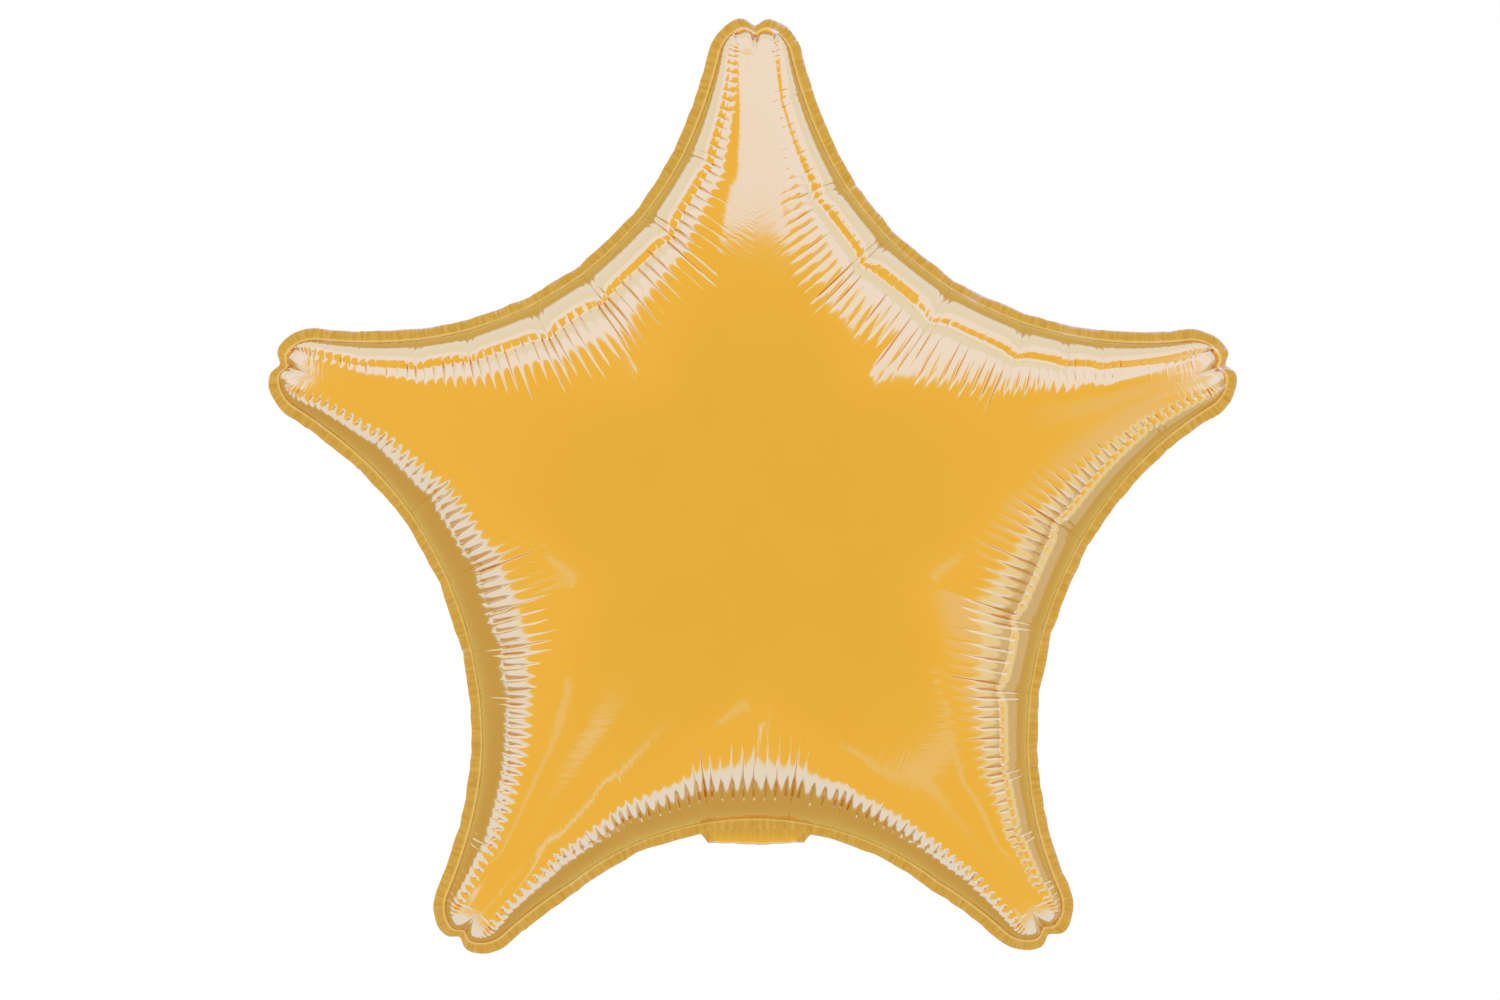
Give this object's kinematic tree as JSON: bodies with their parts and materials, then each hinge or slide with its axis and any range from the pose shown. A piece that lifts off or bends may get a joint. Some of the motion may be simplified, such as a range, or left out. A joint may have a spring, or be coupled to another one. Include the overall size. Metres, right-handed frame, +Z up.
{
  "type": "star foil balloon",
  "caption": "Blown-up star-shaped foil balloon with a welded seam, puckered rim, blunt cleft arms and a flat filling neck folded up behind.",
  "frame": {"origin": "on the cut edge of the welded seam, at the middle of the lowest hollow side, where the filling neck leaves it", "axes": "+Z up through the star's centre to the top arm, +X to the right seen from the front, the front face towards -Y"},
  "size_m": [0.4216, 0.185, 0.4065],
  "materials": {
    "gold_film": "gold metallised film, glossy"
  },
  "bodies": {
    "root": {"foil_envelope": "gold_film"}
  },
  "joints": []
}
